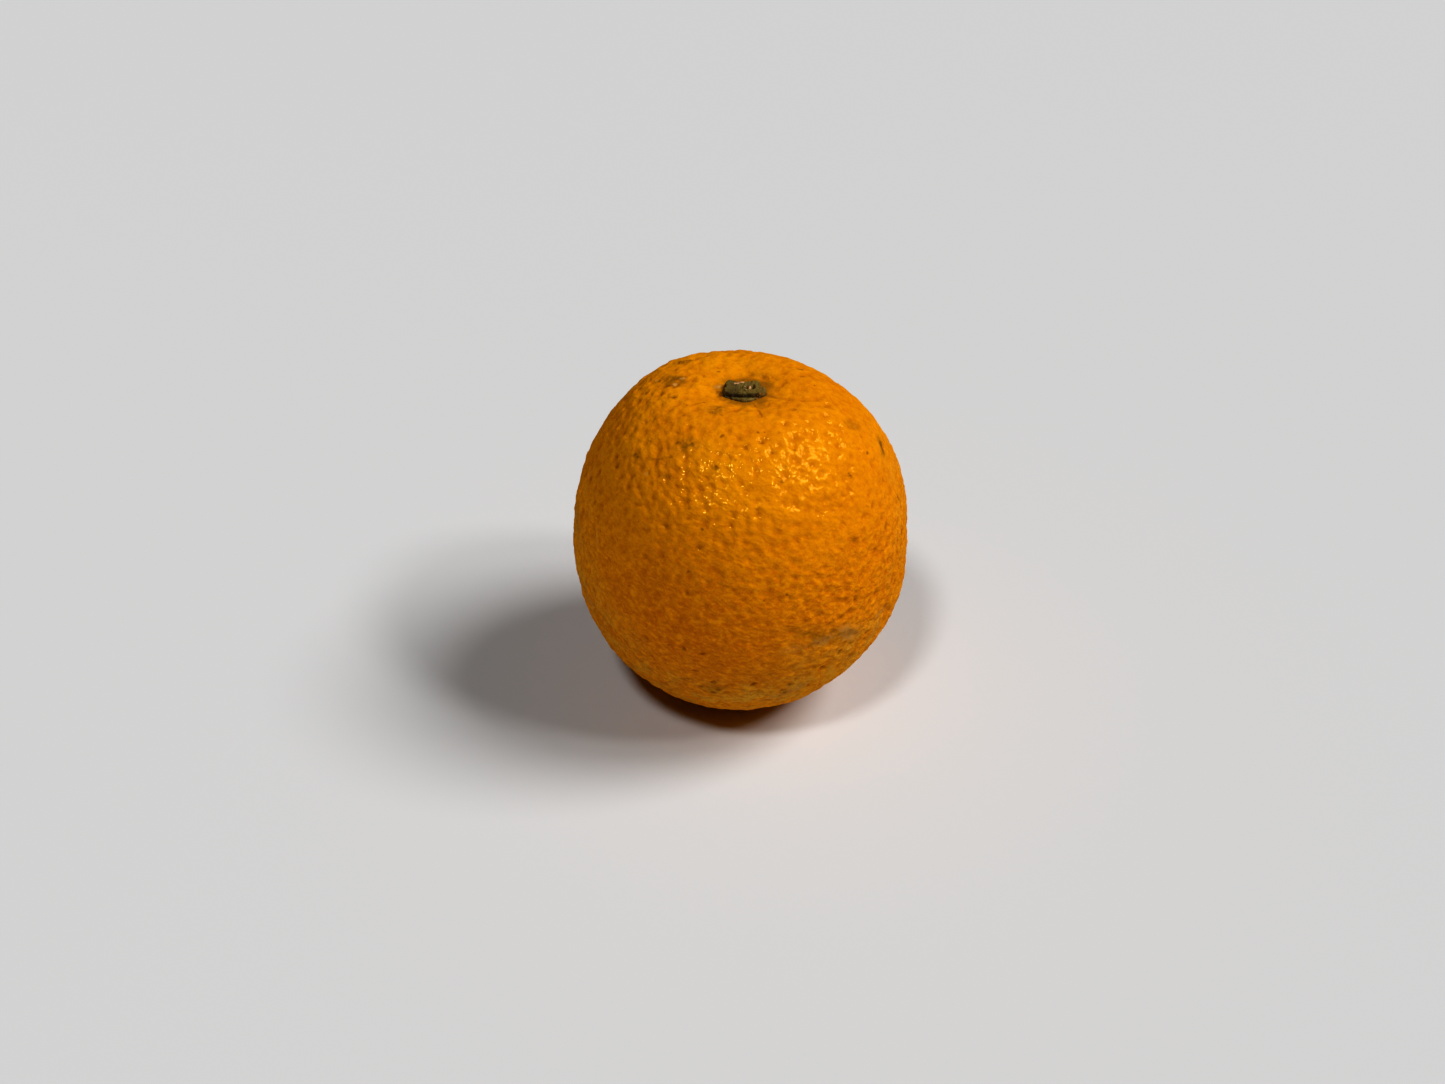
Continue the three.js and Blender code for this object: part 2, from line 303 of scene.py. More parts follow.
class OrangeBody(bpy.types.PropertyGroup):
    """The fruit's smooth form."""

    equator_radius: bpy.props.FloatProperty(
        name="Equator Radius", description="Half the fruit's width", default=37.5 * MM,
        unit="LENGTH")
    stem_reach: bpy.props.FloatProperty(
        name="Stem Reach", description="Equator to stem end, before the hollow", default=42.6 * MM,
        unit="LENGTH")
    blossom_reach: bpy.props.FloatProperty(
        name="Blossom Reach", description="Equator to blossom end, before it is flattened",
        default=38.9 * MM, unit="LENGTH")
    stem_fullness: bpy.props.FloatProperty(
        name="Stem Fullness", description="2 is an ellipsoid, and more is squarer", default=2.2)
    blossom_fullness: bpy.props.FloatProperty(
        name="Blossom Fullness", description="2 is an ellipsoid, and more is squarer", default=2.03)
    hollow_depth: bpy.props.FloatProperty(
        name="Hollow Depth", description="How far the stem end is sunk", default=4.4 * MM,
        unit="LENGTH")
    hollow_radius: bpy.props.FloatProperty(
        name="Hollow Radius", description="How wide the hollow is", default=12 * MM, unit="LENGTH")
    seat_depth: bpy.props.FloatProperty(
        name="Seat Depth", description="The recess under the stem button", default=0.6 * MM,
        unit="LENGTH")
    seat_radius: bpy.props.FloatProperty(
        name="Seat Radius", description="How wide that recess is", default=6 * MM, unit="LENGTH")
    rest_radius: bpy.props.FloatProperty(
        name="Rest Radius", description="The flat spot at the blossom end", default=8 * MM,
        unit="LENGTH")


class OrangeRind(bpy.types.PropertyGroup):
    """The rind's relief and colour."""

    divisions: bpy.props.IntProperty(
        name="Divisions", description="Points along each side of the six patches", default=128)
    pit_spacing: bpy.props.FloatProperty(
        name="Pit Spacing", description="Least distance between gland pits", default=2.15 * MM,
        unit="LENGTH")
    pit_radius: bpy.props.FloatProperty(
        name="Pit Radius", description="How wide a pit is", default=0.8 * MM, unit="LENGTH")
    pit_depth: bpy.props.FloatProperty(
        name="Pit Depth", description="How deep a pit is", default=0.42 * MM, unit="LENGTH")
    pore_radius: bpy.props.FloatProperty(
        name="Pore Radius", description="The narrow opening in a pit's floor", default=0.42 * MM,
        unit="LENGTH")
    pore_depth: bpy.props.FloatProperty(
        name="Pore Depth", description="How deep the openest pores are", default=0.3 * MM,
        unit="LENGTH")
    lump_size: bpy.props.FloatProperty(
        name="Lump Size", description="Distance between the rind's broad lumps", default=8 * MM,
        unit="LENGTH")
    lump_height: bpy.props.FloatProperty(
        name="Lump Height", description="How high the broad lumps stand", default=0.4 * MM,
        unit="LENGTH")
    pebble_size: bpy.props.FloatProperty(
        name="Pebble Size", description="Distance between the pebbles round the pits",
        default=2.4 * MM, unit="LENGTH")
    pebble_height: bpy.props.FloatProperty(
        name="Pebble Height", description="How high the pebbles stand", default=0.35 * MM,
        unit="LENGTH")
    seed: bpy.props.IntProperty(
        name="Seed", description="Changes where the pits fall and how the marks' edges waver",
        default=11, min=1)
    ripe: bpy.props.FloatVectorProperty(
        name="Ripe", description="The rind's main colour", default=(0.78, 0.268, 0.0015),
        subtype="COLOR")
    golden: bpy.props.FloatVectorProperty(
        name="Golden", description="The rind where it is paler", default=(0.82, 0.325, 0.0025),
        subtype="COLOR")
    # Also the painted shade in the rind's dents and ripple hollows.
    deep: bpy.props.FloatVectorProperty(
        name="Deep", description="The rind in its pits", default=(0.46, 0.115, 0.001),
        subtype="COLOR")
    # Also the painted shade low on the front, towards the left.
    ruddy_and_shade: bpy.props.FloatVectorProperty(
        name="Ruddy", description="The rind where it is redder", default=(0.66, 0.18, 0.001),
        subtype="COLOR")
    # Also lighter round the bottom as painted light from the floor.
    olive: bpy.props.FloatVectorProperty(
        name="Olive", description="The rind where it is duller", default=(0.7, 0.39, 0.05),
        subtype="COLOR")


class OrangeButton(bpy.types.PropertyGroup):
    """The dried calyx in the hollow."""

    disc_height: bpy.props.FloatProperty(
        name="Disc Height", description="How high the disc stands over the rind", default=1.35 * MM,
        unit="LENGTH")
    edge_height: bpy.props.FloatProperty(
        name="Edge Height", description="How thick the sepals' edges are", default=0.5 * MM,
        unit="LENGTH")
    rings: bpy.props.IntProperty(
        name="Rings", description="Rings of points from the middle to the edge", default=56)
    spokes: bpy.props.IntProperty(
        name="Spokes", description="Points round each ring", default=240)
    husk: bpy.props.FloatVectorProperty(
        name="Husk", description="The dry calyx", default=(0.21, 0.145, 0.032), subtype="COLOR")
    shade: bpy.props.FloatVectorProperty(
        name="Shade", description="The calyx where it is darker", default=(0.06, 0.036, 0.008),
        subtype="COLOR")
    fibre: bpy.props.FloatVectorProperty(
        name="Fibre", description="Torn fibres at the stem's scar", default=(0.72, 0.38, 0.2),
        subtype="COLOR")
    rust: bpy.props.FloatVectorProperty(
        name="Rust", description="Specks at the calyx's edge", default=(0.48, 0.15, 0.02),
        subtype="COLOR")


class OrangeStage(bpy.types.PropertyGroup):
    """The floor, the lights and the camera."""

    camera_elevation: bpy.props.FloatProperty(
        name="Camera Elevation", description="Viewing angle above the horizon",
        default=math.radians(35), subtype="ANGLE")
    camera_distance: bpy.props.FloatProperty(
        name="Camera Distance", description="Camera to the middle of the fruit", default=0.446,
        unit="LENGTH")
    view_width: bpy.props.FloatProperty(
        name="View Width", description="The camera's horizontal field of view",
        default=math.radians(40), subtype="ANGLE")
    floor_size: bpy.props.FloatProperty(
        name="Floor Size", description="Side of the square floor", default=8.0, unit="LENGTH")
    key_strength: bpy.props.FloatProperty(
        name="Key Strength", description="The main light from the right, in watts a square metre",
        default=1.54)
    right_strength: bpy.props.FloatProperty(
        name="Right Strength", description="The small lamp on the right, in watts a square metre",
        default=0.48)
    left_strength: bpy.props.FloatProperty(
        name="Left Strength", description="The small lamp on the left, in watts a square metre",
        default=0.75)
    softness: bpy.props.FloatProperty(
        name="Softness", description="How wide the main light looks from the fruit",
        default=math.radians(25), subtype="ANGLE")
    lamp_width: bpy.props.FloatProperty(
        name="Lamp Width", description="How wide the small lamps look from the fruit",
        default=math.radians(9), subtype="ANGLE")
    sky: bpy.props.FloatProperty(
        name="Sky", description="Even light from all round", default=0.003)


# ---- Wiring helpers: one small language for Geometry Nodes and for materials ---------------------


class Field:
    """A node's output. Arithmetic on it adds Math nodes to the same tree."""

    def __init__(self, net, socket):
        self.net = net
        self.socket = socket

    def __add__(self, other):
        return self.net.math("ADD", self, other)

    def __sub__(self, other):
        return self.net.math("SUBTRACT", self, other)

    def __rsub__(self, other):
        return self.net.math("SUBTRACT", other, self)

    def __mul__(self, other):
        return self.net.math("MULTIPLY", self, other)

    def __truediv__(self, other):
        return self.net.math("DIVIDE", self, other)

    def __rtruediv__(self, other):
        return self.net.math("DIVIDE", other, self)

    def __pow__(self, other):
        return self.net.math("POWER", self, other)

    __radd__ = __add__
    __rmul__ = __mul__


class Net:
    """Adds nodes to one tree, fed by plain values and by the fields already in it."""

    def __init__(self, tree):
        self.tree = tree

    def node(self, kind, inputs=(), **settings):
        """A new node. inputs pairs its sockets' names or numbers with values."""
        made = self.tree.nodes.new(kind)
        for name, value in settings.items():
            setattr(made, name, value)
        for name, value in dict(inputs).items():
            self.feed(made.inputs[name], value)
        return made

    def feed(self, socket, value):
        """Links a field to the socket, or sets a plain value on it."""
        if isinstance(value, Field):
            self.tree.links.new(value.socket, socket)
        else:
            socket.default_value = value

    def field(self, kind, inputs=(), output=0, **settings):
        """One output of a new node."""
        return Field(self, self.node(kind, inputs, **settings).outputs[output])

    def math(self, operation, *values):
        return self.field("ShaderNodeMath", enumerate(values), operation=operation)

    def vector(self, operation, *values, output=0):
        return self.field("ShaderNodeVectorMath", enumerate(values), output, operation=operation)

    def scale(self, vector, factor):
        return self.field(
            "ShaderNodeVectorMath", {"Vector": vector, "Scale": factor}, operation="SCALE")

    def split(self, vector):
        made = self.node("ShaderNodeSeparateXYZ", {"Vector": vector})
        return [Field(self, output) for output in made.outputs]

    def join(self, x, y, z):
        return self.field("ShaderNodeCombineXYZ", {"X": x, "Y": y, "Z": z})

    def between(self, low, high, share):
        """low where share is 0 and high where it is 1."""
        return low + (high - low) * share

    def clamp(self, value):
        return self.field("ShaderNodeClamp", {"Value": value})

    def step(self, value, start, end):
        """0 up to start, 1 from end, and smooth in between. end may be below start."""
        inputs = {"Value": value, "From Min": start, "From Max": end}
        return self.field("ShaderNodeMapRange", inputs, interpolation_type="SMOOTHSTEP")

    def mound(self, distance, reach):
        """1 at no distance and falling away smoothly, with reach as its half width."""
        share = distance / reach
        return self.math("EXPONENT", share * share * -1)

    def fold(self, wave, width):
        """1 along the lines where a noise crosses its middle value, falling away over a width."""
        return self.mound(wave - 0.5, width)

    def noise(self, place, size, detail=2.0, roughness=0.5, lift=None):
        """Soft noise from 0 to 1 whose lumps are about that size."""
        if lift is not None:
            place = self.vector("ADD", place, lift)
        inputs = {"Vector": place, "Scale": 1 / size, "Detail": detail, "Roughness": roughness}
        return self.field("ShaderNodeTexNoise", inputs)

    def warp(self, place, size, reach, detail=2.0):
        """The place, shifted about by noise, so that what is drawn there has a ragged outline."""
        inputs = {"Vector": place, "Scale": 1 / size, "Detail": detail}
        noise_color = self.field("ShaderNodeTexNoise", inputs, "Color")
        shift = self.vector("SUBTRACT", noise_color, (0.5, 0.5, 0.5))
        return self.vector("ADD", place, self.scale(shift, reach))

    def angle(self, direction, spot):
        """The angle from a spot's bearing and latitude to a unit direction."""
        toward = direction_at(spot.bearing, spot.latitude)
        cosine = self.vector("DOT_PRODUCT", direction, toward, output="Value")
        return self.math("ARCCOSINE", self.math("MINIMUM", cosine, 1.0))

    def mix(self, low, high, share):
        """The low colour where share is 0 and the high one where it is 1."""
        low = low if isinstance(low, Field) else (*low, 1.0)
        high = high if isinstance(high, Field) else (*high, 1.0)
        inputs = {0: share, 6: low, 7: high}
        return self.field("ShaderNodeMix", inputs, 2, data_type="RGBA", clamp_factor=True)


# The kind of input that a tree needs for each kind of value.
SOCKET_KINDS = {
    int: "NodeSocketInt", float: "NodeSocketFloat", bpy.types.Material: "NodeSocketMaterial"}


def geometry_tree(name, values):
    """A Geometry Nodes tree, its net, and a field for each input that these named values need."""
    tree = bpy.data.node_groups.new(name, "GeometryNodeTree")
    tree.interface.new_socket("Geometry", in_out="OUTPUT", socket_type="NodeSocketGeometry")
    for label, value in values.items():
        tree.interface.new_socket(label, in_out="INPUT", socket_type=SOCKET_KINDS[type(value)])
    net = Net(tree)
    entry = net.node("NodeGroupInput")
    return tree, net, {label: Field(net, entry.outputs[label]) for label in values}


def grow(tree, name, values):
    """A plain mesh object made by a Geometry Nodes tree from these input values."""
    piece = bpy.data.objects.new(name, bpy.data.meshes.new(name))
    bpy.context.scene.collection.objects.link(piece)
    modifier = piece.modifiers.new(tree.name, "NODES")
    modifier.node_group = tree
    for item in tree.interface.items_tree:
        if item.in_out == "INPUT":
            modifier[item.identifier] = values[item.name]
    depsgraph = bpy.context.evaluated_depsgraph_get()
    mesh = bpy.data.meshes.new_from_object(piece.evaluated_get(depsgraph))
    piece.modifiers.remove(modifier)
    # The material comes after an empty slot of the object's own.
    while mesh.materials[0] is None:
        mesh.materials.pop(index=0)
    piece.data = mesh
    mesh.name = name
    return piece


def direction_at(bearing, latitude):
    """The unit vector at a bearing and latitude in degrees."""
    turn = math.radians(bearing)
    rise = math.radians(latitude)
    level = math.cos(rise)
    return Vector((level * math.cos(turn), level * math.sin(turn), math.sin(rise)))


# ---- Rind: form ----------------------------------------------------------------------------------


def store(net, geometry, name, kind, value):
    """The geometry with a value stored on its points under a name."""
    inputs = {"Geometry": geometry, "Name": name, "Value": value}
    return net.field("GeometryNodeStoreNamedAttribute", inputs, data_type=kind)


def stored(net, name):
    """The value stored on the geometry's points under a name."""
    return net.field("GeometryNodeInputNamedAttribute", {"Name": name})


def cube_directions(net, place):
    """Unit directions from a cube's points. The tangent evens out the sizes of its squares."""
    parts = [net.math("TANGENT", part * (math.pi / 4)) for part in net.split(place)]
    return net.vector("NORMALIZE", net.join(*parts))


def body_radius(net, direction, size):
    """Distance from the middle to the smooth body along a unit direction."""
    x, y, z = net.split(direction)
    upper = net.math("GREATER_THAN", z, 0.0)
    fullness = net.between(size["Blossom Fullness"], size["Stem Fullness"], upper)
    reach = net.between(size["Blossom Reach"], size["Stem Reach"], upper)
    across = net.math("SQRT", x * x + y * y) / size["Equator Radius"]
    along = net.math("ABSOLUTE", z) / reach
    return (across ** fullness + along ** fullness) ** (-1 / fullness)


def swelling(net, direction):
    """How far the body swells along a unit direction."""
    height = 0.0
    for spot in SWELLINGS.values():
        rise = net.mound(net.angle(direction, spot), math.radians(spot.spread))
        height = rise * (spot.height * MM) + height
    return height


def from_axis(net, place, axis=(0, 0, 0)):
    """x, y and distance of a place from a vertical axis through a point."""
    x, y, _z = net.split(net.vector("SUBTRACT", place, axis))
    return x, y, net.math("SQRT", x * x + y * y)


def stem_end_sink(net, place, size):
    """How far the hollow, the button's seat and the furrows sink the stem end."""
    _x, _y, distance = from_axis(net, place)
    sink = size["Hollow Depth"] * net.mound(distance, size["Hollow Radius"])
    x, y, distance = from_axis(net, place, STEM_CENTER)
    sink = sink + size["Seat Depth"] * net.mound(distance, size["Seat Radius"])
    wander = net.noise(place, 7 * MM, lift=(0.3, 0.1, 0.7)) - 0.5
    bearing = net.math("ARCTAN2", y, x) + wander * 0.5
    fade_in = net.step(distance, FURROW_START, FURROW_START + FURROW_FADE)
    for furrow in FURROWS:
        end = furrow.end * MM
        turn = net.math("WRAP", bearing - math.radians(furrow.bearing), math.pi, -math.pi)
        fade_out = net.step(distance, end, end / 2)
        across = net.mound(turn * distance, furrow.width * MM)
        sink = sink + across * fade_in * fade_out * (furrow.depth * MM)
    return sink


def on_stem_end(net, place):
    """1 above the equator and 0 below it."""
    _x, _y, z = net.split(place)
    return net.math("GREATER_THAN", z, 0.0)


def rest_height(size):
    """Height of the smooth body where the flat spot ends."""
    share = (size["Rest Radius"] / size["Equator Radius"]) ** size["Blossom Fullness"]
    return (1 - share) ** (1 / size["Blossom Fullness"]) * size["Blossom Reach"] * -1


def flatten(net, geometry, size):
    """The geometry with nothing below its flat spot."""
    x, y, z = net.split(net.field("GeometryNodeInputPosition"))
    flat = net.join(x, y, net.math("MAXIMUM", z, rest_height(size)))
    return net.field("GeometryNodeSetPosition", {"Geometry": geometry, "Position": flat})


def smooth_body(net, size):
    """The fruit with its hollow, furrows and unevenness, before the rind's own relief."""
    sides = {"Size": (2.0, 2.0, 2.0)}
    for axis in "XYZ":
        sides[f"Vertices {axis}"] = size["Divisions"]
    cube = net.field("GeometryNodeMeshCube", sides)
    place = net.field("GeometryNodeInputPosition")
    cube = store(net, cube, "cube", "FLOAT_VECTOR", place)
    direction = cube_directions(net, place)
    radius = body_radius(net, direction, size) + swelling(net, direction)
    swollen = net.scale(direction, radius)
    sink = stem_end_sink(net, swollen, size) * on_stem_end(net, direction)
    sunk = net.vector("SUBTRACT", swollen, net.join(0.0, 0.0, sink))
    return net.field("GeometryNodeSetPosition", {"Geometry": cube, "Position": sunk})


def gland_pits(net, body, size):
    """Fields for the pits' and pores' depth at each point of the body, from 0 to 1."""
    spacing = size["Pit Spacing"]
    glands = net.field(
        "GeometryNodeDistributePointsOnFaces",
        {"Mesh": body, "Distance Min": spacing, "Density Max": 2.5 / (spacing * spacing),
         "Seed": size["Seed"]},
        distribute_method="POISSON")
    probe = net.warp(net.field("GeometryNodeInputPosition"), 1.6 * MM, 1.1 * MM, detail=1.0)
    distance = net.field(
        "GeometryNodeProximity", {"Target": glands, "Source Position": probe}, "Distance",
        target_element="POINTS")
    nearest = net.field("GeometryNodeSampleNearest", {"Geometry": glands, "Sample Position": probe})
    chance = net.field("FunctionNodeRandomValue", {2: 0.0, 3: 1.0, "Seed": size["Seed"]}, 1)
    luck = net.field(
        "GeometryNodeSampleIndex", {"Geometry": glands, "Value": chance, "Index": nearest})
    pit = net.mound(distance, size["Pit Radius"] * (luck * 0.5 + 0.75)) * (luck * 0.7 + 0.45)
    seldom = luck ** 14.0
    return pit, net.mound(distance, size["Pore Radius"]) * seldom


def along_ripples(net, place):
    """The place, squeezed along the rind's ripples, so that noise there is drawn out into them."""
    inputs = {"Vector": place, "Angle": math.radians(-RIPPLE_TILT)}
    turned = net.field("ShaderNodeVectorRotate", inputs, rotation_type="Y_AXIS")
    return net.vector("MULTIPLY", turned, RIPPLE_SQUEEZE)


def on_shoulder(net, from_middle):
    """0 over the fruit's lower part and 1 over its upper part, where the rind is less rippled."""
    return net.step(net.split(from_middle)[2], SHOULDER_START, SHOULDER_END)


def rind_relief(net, size):
    """How far the rind stands out of the smooth body."""
    place = net.field("GeometryNodeInputPosition")
    lumps = net.noise(place, size["Lump Size"], detail=1.0) - 0.5
    pebble = size["Pebble Size"]
    pebbles = net.noise(place, pebble, roughness=0.55, lift=(0.05, 0, 0)) - 0.5
    ripples = net.noise(along_ripples(net, place), pebble, detail=1.0, lift=(0, 0.05, 0))
    folds = net.fold(ripples, 0.09) * net.between(1.0, 0.5, on_shoulder(net, place))
    raised = lumps * size["Lump Height"] + pebbles * size["Pebble Height"]
    dented = stored(net, "pit") * size["Pit Depth"] + stored(net, "pore") * size["Pore Depth"]
    dented = dented + folds * size["Pebble Height"] * 0.45
    return (raised * 2 - dented) * (1 - cast_mask(net, place, "smooth"))


def clear_of_button(net, place):
    """0 under the stem button and 1 from a little way outside it."""
    _x, _y, distance = from_axis(net, place, STEM_CENTER)
    clear = net.step(distance, 3.5 * MM, 8 * MM)
    return net.math("MAXIMUM", clear, 1 - on_stem_end(net, place))


def rind_tree(values):
    """The tree that grows the rind: the smooth body, then its pits, pores, lumps and pebbles."""
    tree, net, size = geometry_tree("Orange rind", values)
    body = smooth_body(net, size)
    pit, pore = gland_pits(net, body, size)
    body = store(net, body, "pit", "FLOAT", pit)
    body = store(net, body, "pore", "FLOAT", pore)
    relief = rind_relief(net, size) * clear_of_button(net, net.field("GeometryNodeInputPosition"))
    body = store(net, body, "relief", "FLOAT", relief)
    offset = net.scale(net.field("GeometryNodeInputNormal"), stored(net, "relief"))
    rind = net.field("GeometryNodeSetPosition", {"Geometry": body, "Offset": offset})
    rind = flatten(net, rind, size)
    rind = net.field("GeometryNodeRealizeInstances", {"Geometry": rind})
    rind = net.field("GeometryNodeSetShadeSmooth", {"Geometry": rind, "Shade Smooth": True})
    rind = net.field("GeometryNodeSetMaterial", {"Geometry": rind, "Material": size["Material"]})
    net.node("NodeGroupOutput", {"Geometry": rind})
    return tree


def points_of(mesh):
    """The mesh's points as an array of rows."""
    flat = np.empty(len(mesh.vertices) * 3, np.float32)
    mesh.vertices.foreach_get("co", flat)
    return flat.reshape(-1, 3)


def set_attribute(mesh, name, values):
    """Stores one number for each of the mesh's points under a name."""
    layer = mesh.attributes.new(name, "FLOAT", "POINT")
    layer.data.foreach_set("value", np.array(values, np.float32))


def fit_to_box(mesh, box):
    """Moves a mesh to the box of the solid it dresses and scales it very slightly to fill it."""
    points = points_of(mesh)
    low, high = (np.array(corner) for corner in box)
    own_low = points.min(0)
    own_size = points.max(0) - own_low
    points = low + (points - own_low) * ((high - low) / own_size)
    mesh.vertices.foreach_set("co", points.astype(np.float32).ravel())
    mesh.update()


def lay_out_uv(mesh):
    """One square of the UV map for each side of the cube that the rind grew from."""
    places = np.empty(len(mesh.vertices) * 3, np.float32)
    mesh.attributes["cube"].data.foreach_get("vector", places)
    places = places.reshape(-1, 3)
    corner_points = np.empty(len(mesh.loops), np.int32)
    mesh.loops.foreach_get("vertex_index", corner_points)
    corners = places[corner_points].reshape(-1, 4, 3)
    middles = corners.mean(1)
    axis = np.abs(middles).argmax(1)
    side = np.sign(np.take_along_axis(middles, axis[:, None], 1))[:, :, None]
    across = np.choose(axis[:, None], (corners[:, :, 1], -corners[:, :, 0], corners[:, :, 0]))
    up = np.choose(axis[:, None], (corners[:, :, 2], corners[:, :, 2], corners[:, :, 1]))
    inset = 0.985
    u = (across * side[:, :, 0] * inset + 1) / 2
    v = (up * inset + 1) / 2
    u = (u + axis[:, None]) / 3
    v = (v + (side[:, :, 0] > 0)) / 2
    layer = mesh.uv_layers.new(name="OFBake")
    layer.data.foreach_set("uv", np.stack((u, v), 2).astype(np.float32).ravel())
    mesh.attributes.remove(mesh.attributes["cube"])


# ---- Rind: finish --------------------------------------------------------------------------------


def new_material(name):
    """An empty node material and its net."""
    material = bpy.data.materials.new(name)
    material.use_nodes = True
    material.node_tree.nodes.clear()
    return material, Net(material.node_tree)


def finish_material(net, shader_inputs, sheens=()):
    """A Principled surface under sheens, each of them a share, a colour and a roughness."""
    shader = net.field("ShaderNodeBsdfPrincipled", shader_inputs)
    for share, color, roughness in sheens:
        inputs = {"Color": (*color, 1.0), "Roughness": roughness, "Normal": shader_inputs["Normal"]}
        sheen = net.field("ShaderNodeBsdfGlossy", inputs)
        shader = net.field("ShaderNodeMixShader", {0: share, 1: shader, 2: sheen})
    net.node("ShaderNodeOutputMaterial", {"Surface": shader})


def attribute(net, name):
    """The number that the mesh's points hold under a name."""
    return net.field("ShaderNodeAttribute", output="Fac", attribute_name=name)


def equator_middle():
    """The middle of the fruit's equator, at its height over the flat spot."""
    body = bpy.context.scene.orange_body
    flattened = 1 - (body.rest_radius / body.equator_radius) ** 2
    return Vector((0, 0, body.blossom_reach * flattened ** 0.5))


def on_rind(rind, bearing, latitude):
    """The place and normal on the rind at a bearing and latitude about its equator's middle."""
    hit, place, normal, _face = rind.ray_cast(equator_middle(), direction_at(bearing, latitude))
    if not hit:
        raise RuntimeError("a mark lies off the rind")
    return place, normal


def mark_frame(rind, mark):
    """Middle, turn and half sizes of a mark, which is an oval lying on the rind."""
    middle, normal = on_rind(rind, mark.bearing, mark.latitude)
    east = direction_at(mark.bearing + 90, 0)
    north = normal.cross(east).normalized()
    level = Matrix((east, north, east.cross(north))).transposed()
    turned = level @ Matrix.Rotation(math.radians(mark.turn), 3, "Z")
    return middle, turned, Vector((mark.length * MM / 2, mark.width * MM / 2, MARK_DEPTH))


def store_marks(rind, kind):
    """Stores on the rind's points how strongly the marks of one kind show there, from 0 to 1."""
    points = points_of(rind.data)
    shift = np.array([noise.noise_vector(Vector(point) / MARK_WAVER_SIZE) for point in points])
    points = points + shift * MARK_WAVER
    shown = np.zeros(len(points))
    for mark in MARKS[kind]:
        middle, turned, half = mark_frame(rind, mark)
        inside = (points - np.array(middle)) @ np.array(turned) / np.array(half)
        share = (MARK_FADE - np.linalg.norm(inside, axis=1)) / (MARK_FADE - MARK_CORE)
        share = np.clip(share, 0, 1)
        shown = np.maximum(shown, share * share * (3 - 2 * share) * mark.strength)
    set_attribute(rind.data, kind, shown)


def marks_mask(net, place, rind, kind):
    """How strongly the fine marks of one kind show, from 0 to 1."""
    shown = 0.0
    for mark in MARKS[kind]:
        middle, turned, half = mark_frame(rind, mark)
        inputs = {"Vector": place, "Location": middle, "Rotation": turned.to_euler(), "Scale": half}
        inside = net.field("ShaderNodeMapping", inputs, vector_type="TEXTURE")
        distance = net.vector("LENGTH", inside, output="Value")
        inputs = {
            "Value": distance, "From Min": MARK_CORE, "From Max": MARK_FADE,
            "To Min": mark.strength, "To Max": 0.0}
        spot = net.field("ShaderNodeMapRange", inputs, interpolation_type="SMOOTHSTEP")
        shown = net.math("MAXIMUM", spot, shown)
    return shown


def cast_mask(net, from_middle, kind):
    """How strongly the rind leans to one of its other looks there, from 0 to 1."""
    direction = net.vector("NORMALIZE", from_middle)
    shown = 0.0
    for cast in CASTS[kind]:
        near = net.mound(net.angle(direction, cast), math.radians(cast.spread))
        shown = near * cast.strength + shown
    return shown


def broad_color(net, place, from_middle, colors):
    """The sound rind's colour apart from its relief, leaning to gold, red and olive in places; the
    red low on the front is partly painted shade, and the olive round the bottom partly painted
    light.
    """
    cloud = net.step(net.noise(place, 24 * MM), 0.35, 0.65)
    mottle = net.step(net.noise(place, 3.2 * MM, detail=3.0, lift=(0.1, 0, 0)), 0.35, 0.68)
    blotch = net.noise(place, 5 * MM, detail=4.0, roughness=0.6, lift=(0, 0, 0.2))
    pale = cast_mask(net, from_middle, "pale")
    color = net.mix(colors.ripe, colors.golden, cloud * 0.3 + mottle * 0.35 + pale * 0.8)
    # Redder rind, and painted shade low on the front towards the left.
    ruddy_and_shade = cast_mask(net, from_middle, "ruddy_and_shade") * (mottle * 0.5 + 0.5)
    color = net.mix(color, colors.ruddy_and_shade, ruddy_and_shade)
    # Duller olive rind, and round the bottom painted light from the floor.
    olive = cast_mask(net, from_middle, "olive") * (net.step(blotch, 0.4, 0.65) * 0.7 + 0.3)
    return net.mix(color, colors.olive, olive)


def rind_color(net, place, colors):
    """The sound rind's colour, with painted shade in its dents and hollows and a painted highlight
    on its pebbles and crests, partly their own tones.
    """
    from_middle = net.vector("SUBTRACT", place, equator_middle())
    color = broad_color(net, place, from_middle, colors)
    grain = net.noise(place, 0.32 * MM)
    wavy = net.warp(place, 3 * MM, 1.5 * MM)
    ripple = net.noise(along_ripples(net, wavy), 0.75 * MM, detail=3.0)
    relief = attribute(net, "relief")
    rippled = net.between(1.0, 0.5, on_shoulder(net, from_middle))
    # Darker in the relief's dents and the ripples' hollows, as painted shade that is partly the
    # rind's own deeper tone, and darker in a fine random grain; all stronger over the lower part.
    color = net.mix(color, colors.deep, net.step(relief, 0.05 * MM, -0.5 * MM) * 0.32)
    color = net.mix(color, colors.deep, net.step(ripple, 0.5, 0.3) * rippled * 0.5)
    color = net.mix(color, colors.deep, net.step(grain, 0.42, 0.7) * rippled * 0.4)
    # Paler on the raised relief and the ripples' crests, as a painted highlight that is partly the
    # rind's own paler tone.
    raised = net.step(relief, 0.05 * MM, 0.35 * MM)
    ridge = net.math("MAXIMUM", raised, net.step(ripple, 0.5, 0.68))
    color = net.mix(color, RIDGE_HIGHLIGHT_COLOR, ridge * rippled * 0.5)
    # Painted shade in the pores' openings.
    return net.mix(color, PORE_SHADE_COLOR, attribute(net, "pore") * 0.8)


def specks(net, place):
    """Small dark specks, scattered thinly all over the rind."""
    cells = net.node("ShaderNodeTexVoronoi", {"Vector": place, "Scale": 1 / SPECK_SPACING})
    millimetres = Field(net, cells.outputs["Distance"]) * (SPECK_SPACING / MM)
    luck = net.split(Field(net, cells.outputs["Color"]))[0]
    return net.step(millimetres, 0.42, 0.12) * net.step(luck, 0.2, 0.9)


